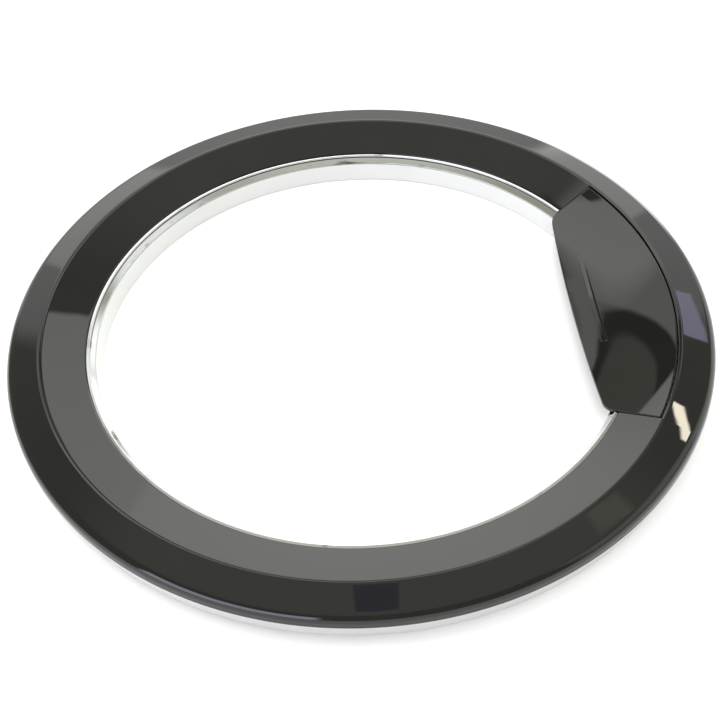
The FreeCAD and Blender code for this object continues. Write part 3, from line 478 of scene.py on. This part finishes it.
# %% [markdown]
# ## Surfaces from grids
# Every new piece is a grid of points that numpy works out at once, with quads between neighbours.
# A surface could also be modelled by hand, but a formula keeps the sizes of the solid exactly.
# Corners sharper than a given angle stay crisp, and the rest is shaded smooth.


# %% Cells of a grid
def quads(rows, columns, wrap_rows=False, wrap_columns=False):
    """Cells of a grid: each joins a point, its right neighbour and the two above them."""
    row, column = np.meshgrid(np.arange(rows if wrap_rows else rows - 1),
                              np.arange(columns if wrap_columns else columns - 1), indexing="ij")
    row, column = row.ravel(), column.ravel()
    above, beside = (row + 1) % rows, (column + 1) % columns
    return np.stack([row * columns + column, row * columns + beside, above * columns + beside,
                     above * columns + column], axis=1)


def sound(points, cells):
    """The cells that have area: half the cross product of their diagonals is not zero."""
    a, b, c, d = (points[cells[:, corner]] for corner in range(4))
    area = np.linalg.norm(np.cross(c - a, d - b), axis=1) / 2
    return cells[area > 1e-11]


print("a grid of 3 by 4 points has", len(quads(3, 4)), "cells")


# %% A piece from shells
def make_piece(name, shells, body, slot, stands_for=None, crisp=32):
    """One object from shells of (points in mm, quads, end faces); quads turn outwards by signed volume."""
    points, faces = [], []
    for spots, cells, ends in shells:
        spots = spots.reshape(-1, 3) * 0.001
        cells = sound(spots, cells)
        a, b, c, d = (spots[cells[:, corner]] for corner in range(4))
        volume = (np.einsum("ij,ij->i", a, np.cross(b, c)) + np.einsum("ij,ij->i", a, np.cross(c, d))).sum()
        if volume < 0:
            cells = cells[:, ::-1]
            ends = [end[::-1] for end in ends]
        first = sum(len(earlier) for earlier in points)
        faces += (cells + first).tolist() + [(end + first).tolist() for end in ends]
        points.append(spots)
    mesh = bpy.data.meshes.new(name)
    mesh.from_pydata(np.concatenate(points).tolist(), [], faces)
    work = bmesh.new()
    work.from_mesh(mesh)
    bmesh.ops.remove_doubles(work, verts=work.verts, dist=1e-7)
    work.to_mesh(mesh)
    work.free()
    mesh.polygons.foreach_set("use_smooth", np.ones(len(mesh.polygons), bool))
    mesh.set_sharp_from_angle(angle=math.radians(crisp))
    mesh.materials.append(FINISHES[slot])
    piece = bpy.data.objects.new(name, mesh)
    scene.collection.objects.link(piece)
    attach(piece, body)
    if stands_for:
        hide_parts(stands_for)
    mesh.calc_loop_triangles()
    print(name, "has", len(mesh.loop_triangles), "triangles")


# %% Outlines with round corners
ARC_STEPS = 6


def rounded(corners, radii, steps=ARC_STEPS, along=(0.03, 0.2, 0.4, 0.6, 0.8, 0.97)):
    """Outline with round corners: each arc touches both its sides, with points along the runs between."""
    corner, radius = np.array(corners, float), np.array(radii, float)[:, None]
    behind, ahead = np.roll(corner, 1, 0) - corner, np.roll(corner, -1, 0) - corner
    behind /= np.linalg.norm(behind, axis=1, keepdims=True)
    ahead /= np.linalg.norm(ahead, axis=1, keepdims=True)
    half = np.arccos(np.clip((behind * ahead).sum(1, keepdims=True), -1, 1)) / 2
    inward = behind + ahead
    centre = corner + inward / np.linalg.norm(inward, axis=1, keepdims=True) * radius / np.sin(half)
    start, end = corner + behind * radius / np.tan(half), corner + ahead * radius / np.tan(half)
    turn = (np.pi - 2 * half)[:, :, None]
    share = np.linspace(0, 1, steps + 1)[None, :, None]
    arcs = centre[:, None] + (np.sin((1 - share) * turn) * (start - centre)[:, None]
                              + np.sin(share * turn) * (end - centre)[:, None]) / np.sin(turn)
    reach = np.array(along)[None, :, None]
    runs = end[:, None] * (1 - reach) + np.roll(start, -1, 0)[:, None] * reach
    return np.concatenate([arcs, runs], axis=1).reshape(-1, 2)


print("a rounded square has", len(rounded([(0, 0), (1, 0), (1, 1), (0, 1)], [0.1] * 4)), "points")


# %% Sweeps round the axis
def smooth_step(value):
    """Rises from 0 to 1 with level ends: 3 t squared less 2 t cubed."""
    t = np.clip(value, 0, 1)
    return t * t * (3 - 2 * t)


def swept(sections, degrees, whole_turn=False):
    """Sections of (radius, height) carried round the door's axis: x = r cos a, y = r sin a."""
    turn = np.radians(degrees)[:, None]
    radius, height = sections[..., 0], sections[..., 1]
    points = np.stack([radius * np.cos(turn), radius * np.sin(turn), height + 0 * turn], axis=-1)
    rows, columns = points.shape[:2]
    ends = [] if whole_turn else [np.arange(columns)[::-1], np.arange((rows - 1) * columns, rows * columns)]
    return points, quads(rows, columns, wrap_rows=whole_turn, wrap_columns=True), ends


def carried(profile, degrees):
    """One profile carried unchanged through all the angles."""
    return swept(np.repeat(profile[None], len(degrees), axis=0), degrees)


print("half way, the smooth step is at", smooth_step(0.5))

# %% [markdown]
# ## Sizes
# The same sizes as in the solids, in millimetres. Reading them from the solids' corners would work for
# some, but a surface that stands for a solid needs the sizes behind its corners as well.

# %% Sizes in millimetres
RIM, RIM_LOW, RIM_TOP = 235.0, 12.5, 21.8
CREST, CREST_TOP = 212.5, 26.8
WINDOW, WINDOW_TOP, LIP_LOW = 183.0, 18.6, 11.503
WALL = 2.6
FLOOR = 2.4
HANDLE_HALF = 32.0
SEAM, GAP, END_GAP, UPPER_GAP = 209.4, 1.4, 0.9, 0.4
WELL_WALL = 2.0
WELL, WELL_OUTSIDE = SEAM + GAP, SEAM + GAP + WELL_WALL
WELL_HALF = HANDLE_HALF + math.degrees(END_GAP / WINDOW)
UPPER_HALF = HANDLE_HALF + math.degrees(UPPER_GAP / WINDOW)
BLOCK_HALF = WELL_HALF + math.degrees(WELL_WALL / WINDOW)
INNER_FALL = (CREST_TOP - WINDOW_TOP) / (CREST - WINDOW)
OUTER_FALL = (CREST_TOP - RIM_TOP) / (RIM - CREST)
RING_STEPS, WELL_STEPS = 295, 67
print("fall of the inner and the outer face:", round(INNER_FALL, 3), round(OUTER_FALL, 3))

# %% [markdown]
# ## The front ring
# One black moulding makes the rim, the slope, the crest and the face that falls to the window.
# A spun profile would do for the ring alone, but the handle's well interrupts it. So the profile is
# carried round the axis and changes on the way: hollow shell, solid end wall, well, end wall, shell.
# All three profiles have the same number of points, and where they change, the cells between them
# are the well's end walls. A thin lip of the well's top edge reaches over the seam, which looks finer
# than the room the handle needs. It is widest in the middle, where the handle dips as it is pulled,
# and slight near the ends, where the handle rises past it.

# %% Front ring
RIM_ROUND, CREST_ROUND, WELL_CREST_ROUND = 6.0, 6.0, 2.5
LEDGE, LEDGE_LOW, LEDGE_RADIUS = 11.803, 9.903, 176.6
LIP, LIP_AT_ENDS = 0.6, 0.2
# The lip is full within the first angle and faded past the second, in degrees
LIP_FULL, LIP_FADED = 10.0, 16.0
# Corners of an outline count from 0, so the well's top edge is its fourth
TOP_EDGE_CORNER = 3
# The roof's middle corner is lifted a little, because an arc on a straight line has no centre
ROOF_MIDDLE, ROOF_LIFT = 222.0, 0.1


def ring_profiles():
    """Outlines of the shell, the end wall and the well, as (radius, height), and the corners of each."""
    skin = [(RIM, RIM_LOW), (RIM, RIM_TOP), (CREST, CREST_TOP)]
    under = [(RIM - WALL, RIM_TOP + WALL * OUTER_FALL - WALL), (RIM - WALL, RIM_LOW)]
    roof = CREST_TOP - WALL - (WELL_OUTSIDE - CREST) * OUTER_FALL
    inside = [(WELL_OUTSIDE, FLOOR), (WELL_OUTSIDE, roof),
              (ROOF_MIDDLE, roof - (ROOF_MIDDLE - WELL_OUTSIDE) * OUTER_FALL + ROOF_LIFT)]
    shell = skin + [(WINDOW, WINDOW_TOP), (WINDOW, LIP_LOW), (WINDOW + WALL, LIP_LOW),
                    (WINDOW + WALL, WINDOW_TOP + WALL * INNER_FALL - WALL),
                    (CREST, CREST_TOP - WALL)] + under
    block = skin + [(WINDOW, WINDOW_TOP), (WINDOW, FLOOR)] + inside + under
    well = skin + [(WELL, CREST_TOP - (CREST - WELL) * INNER_FALL), (WELL, FLOOR)] + inside + under
    hidden = [0.25, 0.25, 0.3, 0.5, 1.0, 0.3]
    rounds = [1.2, RIM_ROUND, CREST_ROUND, 1.0] + hidden
    well_rounds = [1.2, RIM_ROUND, WELL_CREST_ROUND, 0.5] + hidden
    return rounded(shell, rounds), rounded(block, rounds), rounded(well, well_rounds), len(rounds)


def build_front_ring():
    """Profile carried round the axis, with the well's profile within its angle, and the ledge below."""
    shell, block, well, corners = ring_profiles()
    lower, upper = np.array([-BLOCK_HALF, -WELL_HALF]), np.array([UPPER_HALF, BLOCK_HALF])
    across = np.linspace(-WELL_HALF, UPPER_HALF, WELL_STEPS)
    round_back = np.linspace(BLOCK_HALF, 360 - BLOCK_HALF, RING_STEPS)
    degrees = np.concatenate([lower, across, upper, round_back])
    sections = np.concatenate([np.repeat(profile[None], len(part), axis=0) for profile, part in
                               ((block, lower), (well, across), (block, upper), (shell, round_back))])
    fade = smooth_step((LIP_FADED - np.abs(across)) / (LIP_FADED - LIP_FULL))
    lip = LIP_AT_ENDS + (LIP - LIP_AT_ENDS) * fade
    in_well = slice(len(lower), len(lower) + len(across))
    first = TOP_EDGE_CORNER * len(well) // corners
    top_edge = slice(first, first + ARC_STEPS + 1)
    sections[in_well, top_edge] -= lip[:, None, None] * np.array([1, INNER_FALL])
    ledge = rounded([(LEDGE_RADIUS, LEDGE_LOW), (WINDOW + WALL, LEDGE_LOW), (WINDOW + WALL, LEDGE),
                     (LEDGE_RADIUS, LEDGE)], [0.3] * 4)
    sill = rounded([(WINDOW, FLOOR), (WINDOW + WALL, FLOOR), (WINDOW + WALL, LEDGE_LOW),
                    (WINDOW, LEDGE_LOW)], [0.2] * 4)
    shells = [swept(sections, degrees, whole_turn=True), carried(ledge, across), carried(sill, across)]
    make_piece("front_ring", shells, "door", "gloss_black", "outer_frame")


build_front_ring()

# %% [markdown]
# ## The window trim
# A plated ring lines the window: a bright bead at the top, a fine groove, then a band that slopes
# in and down. It is open where the handle sits. Its bead is only 2 mm wide, but its round corners
# make the bright line that edges the black. The groove could be left to its own shade, but a plated
# groove lights itself, so a thin black ring lies in it as painted shade for the groove's shadow.

# %% Window trim
SEAT, TRIM_FOOT = 12.703, 177.222
TRIM_GAP, TRIM_WALL, TRIM_TOE = 0.2, 1.3, 0.8
BEAD, BAND_FOOT = 2.3, 2.08
TRIM = WINDOW - TRIM_GAP
BEAD_LOW, SLOPE_TOP, SLOPE = WINDOW_TOP - 1.1, WINDOW_TOP - 2.7, TRIM - 2.6
OPEN_HALF = WELL_HALF + math.degrees(TRIM_GAP / WINDOW)
ROUND_WINDOW = np.linspace(OPEN_HALF, 360 - OPEN_HALF, RING_STEPS)


def build_painted_groove_shade():
    """Painted shade: a small black four-sided profile, carried along the groove under the bead to darken it.
    """
    shade_outline = rounded([(TRIM - 0.5, SLOPE_TOP + 0.1), (TRIM - 0.5, BEAD_LOW + 0.1),
                    (TRIM - 2.0, BEAD_LOW + 0.1), (TRIM - 2.2, SLOPE_TOP + 0.1)], [0.1] * 4, steps=4)
    # Painted shade: this black ring darkens the groove in place of its shadow
    make_piece("painted_groove_shade", [carried(shade_outline, ROUND_WINDOW)], "door", "matte_black")


def build_window_trim():
    """Trim profile carried round the axis from one side of the handle to the other."""
    bead = [(TRIM, WINDOW_TOP - 0.6), (TRIM - BEAD, WINDOW_TOP - 0.2), (TRIM - BEAD, BEAD_LOW)]
    band = [(TRIM - 1.4, BEAD_LOW - 0.8), (SLOPE, SLOPE_TOP), (TRIM_FOOT, SEAT + TRIM_TOE)]
    foot = [(TRIM_FOOT + TRIM_TOE, SEAT), (TRIM, SEAT), (TRIM, SEAT + TRIM_WALL)]
    back = [(TRIM_FOOT + BAND_FOOT, SEAT + TRIM_WALL), (SLOPE + TRIM_WALL, SLOPE_TOP - 1.1),
            (TRIM, BEAD_LOW - 1.9)]
    rounds = [0.3, 0.5, 0.1, 0.12, 0.2, 0.3, 0.3, 0.2, 0.2, 0.2, 0.2, 0.2]
    profile = rounded(bead + band + foot + back, rounds, steps=4)
    make_piece("window_trim", [carried(profile, ROUND_WINDOW)], "door", "bright_trim", "trim_ring")


build_painted_groove_shade()
build_window_trim()

# %% [markdown]
# ## The handle plate
# The handle is a dished black plate, cut straight on its window side and rounded at the two corners
# there. A bevelled flat shape would lose the dish. So its outline is filled by straight lines from
# the window edge to the outer seam, the height follows the dish, and the edge rolls over in rings
# of the same outline, drawn in by a little less each time. The finger groove runs out towards its
# far end.

# %% Outline of the handle plate
EDGE, BOW, CORNER = 144.6, 1525.0, 12.0
GROOVE = {"middle": EDGE + 15.1, "shift": 8.0, "half_width": 1.8, "half_length": 40.5,
          "depth": 1.3, "soft": 0.7}
# Points are close together at the groove's ends, and lines are close together along it
FINE_ENDS = np.linspace(-2.5, 2.5, 21) + GROOVE["half_length"]
LINES = np.concatenate([[0, 0.008], np.linspace(0.03, 0.17, 7), np.linspace(0.185, 0.31, 51),
                        np.linspace(0.34, 0.97, 22), [0.992, 1]])


def plate_grid(inset):
    """Outline drawn in by the inset: lines from the window edge, with its corners, to the outer arc."""
    half = math.radians(HANDLE_HALF)
    along, inward = np.array([math.cos(half), math.sin(half)]), np.array([math.sin(half), -math.cos(half)])
    bow_centre = np.array([EDGE + BOW, 0.0])
    offset = inward * CORNER - bow_centre
    middle = along @ offset
    reach = -middle - math.sqrt(middle ** 2 - offset @ offset + (BOW - CORNER) ** 2)
    pivot = along * reach + inward * CORNER
    outward = (pivot - bow_centre) / np.linalg.norm(pivot - bow_centre)
    touch = pivot + outward * (CORNER - inset)
    width = np.unique(np.concatenate([np.linspace(-1, 1, 121) * touch[1], GROOVE["shift"] + FINE_ENDS,
                                      GROOVE["shift"] - FINE_ENDS]))
    edge = np.stack([EDGE + BOW - np.sqrt((BOW - inset) ** 2 - width ** 2), width], axis=1)
    first, last = math.atan2(outward[1], outward[0]), math.atan2(-inward[1], -inward[0])
    turn = np.linspace(first, last, 13)[1:, None]
    corner = pivot + (CORNER - inset) * np.concatenate([np.cos(turn), np.sin(turn)], axis=1)
    window_side = np.concatenate([(corner * (1, -1))[::-1], edge, corner])
    widest = half - math.asin(inset / (SEAM - inset))
    angle = window_side[:, 1] / window_side[-1, 1] * widest
    seam_side = (SEAM - inset) * np.stack([np.cos(angle), np.sin(angle)], axis=1)
    share = LINES[:, None, None]
    return window_side[None] * (1 - share) + seam_side[None] * share


def border(grid):
    """The grid's four sides as one closed line."""
    return np.concatenate([grid[0, :-1], grid[:-1, -1], grid[-1, :0:-1], grid[:0:-1, 0]])


print("handle grid:", plate_grid(0).shape[:2])

# %% Heights of the handle plate
EDGE_TOP, PLATE_TOP, PLATE_WALL = 15.6, 26.1, 2.6
RISE, RUN = PLATE_TOP - EDGE_TOP, SEAM - EDGE
BEND = (RUN ** 2 + RISE ** 2) / (2 * RISE)


def dish(flat, bend):
    """Height of the dish: a circle of that bend, turned about the door's axis, lowest at the window."""
    return EDGE_TOP + BEND - np.sqrt(bend ** 2 - (np.hypot(flat[..., 0], flat[..., 1]) - EDGE) ** 2)


def grooved(flat):
    """Top of the plate: the dish less a trough with soft sides, shallow at its far end."""
    soft = GROOVE["soft"]
    across = smooth_step((GROOVE["half_width"] - np.abs(flat[..., 0] - GROOVE["middle"])) / soft + 0.5)
    along = flat[..., 1] - GROOVE["shift"]
    lengthwise = smooth_step((GROOVE["half_length"] - np.abs(along)) / soft + 0.5)
    run_out = smooth_step((GROOVE["half_length"] - along) / GROOVE["half_length"])
    return dish(flat, BEND) - GROOVE["depth"] * run_out * across * lengthwise


def lift(flat, height):
    """Flat points with their heights added."""
    return np.concatenate([flat, height[..., None]], axis=-1)


print("dish of", round(BEND, 1), "mm radius")


# %% Handle plate
def build_handle_plate(edge_round=0.45, low_round=0.4):
    """Top grid, rolled edge, upright side and underside, joined along shared lines."""
    top, low = plate_grid(edge_round), plate_grid(low_round)
    rings = []
    for turn in np.radians(np.linspace(0, 90, 7)):
        line = border(plate_grid(edge_round * (1 - math.sin(turn))))
        rings.append(lift(line, dish(line, BEND) - edge_round * (1 - math.cos(turn))))
    for turn in np.radians(np.linspace(90, 0, 5)):
        line = border(plate_grid(low_round * (1 - math.sin(turn))))
        rings.append(lift(line, dish(line, BEND + PLATE_WALL) + low_round * (1 - math.cos(turn))))
    rows, columns = top.shape[:2]
    upper, lower, side = lift(top, grooved(top)), lift(low, dish(low, BEND + PLATE_WALL)), np.stack(rings)
    points = np.concatenate([upper.reshape(-1, 3), lower.reshape(-1, 3), side.reshape(-1, 3)])
    sheet = quads(rows, columns)
    rim = quads(len(side), side.shape[1], wrap_columns=True)
    cells = np.concatenate([sheet, sheet[:, ::-1] + rows * columns, rim[:, ::-1] + 2 * rows * columns])
    make_piece("handle_plate", [(points, cells, [])], "handle", "gloss_black", "handle_cover", crisp=50)


build_handle_plate()

# %% [markdown]
# ## The screws
# Fifteen self-tapping screws hold the door together from the back, ten long and five short. The
# solids are plain pins with flat heads. A Screw modifier could wind the thread and a Boolean could cut
# the cross, but that makes ragged meshes. Here one surface, a radius and a height for every angle and
# every step along the screw, gives the rounded head, the cross recess and the thread.

# %% One screw
HEAD, HEAD_LOW, HEAD_TOP, HEAD_ROUND = 3.3, 0.2, 1.3, 0.4
SHANK, TIP = 1.4, 0.8
CROSS_ARM, CROSS_REACH, CROSS_DEPTH = 0.45, 1.75, 0.75
PITCH, THREAD = 1.6, 0.28
LONG, SHORT = 12.0, 5.4


def screw_surface(length):
    """Screw surface: head with a cross-shaped dip, then a shank whose radius follows a helix."""
    angle = np.radians(np.linspace(0, 360, 49)[:-1])[None]
    face = np.linspace(0, HEAD - HEAD_ROUND, 14)
    edge = np.radians(np.linspace(0, 90, 5))
    shank = np.linspace(HEAD_TOP, HEAD_TOP + length, int(length * 3))
    radius = np.concatenate([face, HEAD - HEAD_ROUND + HEAD_ROUND * np.sin(edge), [HEAD, SHANK],
                             0 * shank + SHANK, [TIP, 0]])[:, None]
    height = np.concatenate([0 * face + HEAD_LOW, HEAD_LOW + HEAD_ROUND * (1 - np.cos(edge)),
                             [HEAD_TOP, HEAD_TOP], shank, [shank[-1], shank[-1]]])[:, None]
    on_face = (np.arange(len(radius)) < len(face))[:, None]
    x, y = radius * np.cos(angle), radius * np.sin(angle)
    arm = smooth_step((CROSS_ARM - np.minimum(np.abs(x), np.abs(y))) / 0.3 + 0.5)
    dip = CROSS_DEPTH * arm * smooth_step((CROSS_REACH - np.hypot(x, y)) / 0.4 + 0.5) * on_face
    wave = np.abs((height / PITCH - angle / (2 * np.pi)) % 1 - 0.5) * 2
    threaded = (height > HEAD_TOP + 0.3) & (height < shank[-1] - 0.2) & (radius > 1)
    thinner = np.where(threaded, THREAD * wave, 0)
    x, y = (radius - thinner) * np.cos(angle), (radius - thinner) * np.sin(angle)
    return np.stack([x, y, height + dip], axis=-1)


print("screw grid:", screw_surface(LONG).shape[:2])

# %% All screws
SCREW_CIRCLE = 199.0


def build_screws(name, node, places, length):
    """One screw surface, moved to every place."""
    one = screw_surface(length)
    cells = quads(*one.shape[:2], wrap_columns=True)
    shells = [(one + np.array([x, y, 0]), cells, []) for x, y in places]
    make_piece(name, shells, "door", "steel", node, crisp=40)


ring_angle = np.radians(np.linspace(45, 315, 10))
build_screws("frame_screws_cross", "frame_screws",
             SCREW_CIRCLE * np.stack([np.cos(ring_angle), np.sin(ring_angle)], axis=1), LONG)
build_screws("fixing_screws_cross", "fixing_screws",
             [(192.0, 63.5), (192.0, -63.5), (196.0, 16.105), (196.0, -16.105), (-202.0, 0.0)], SHORT)
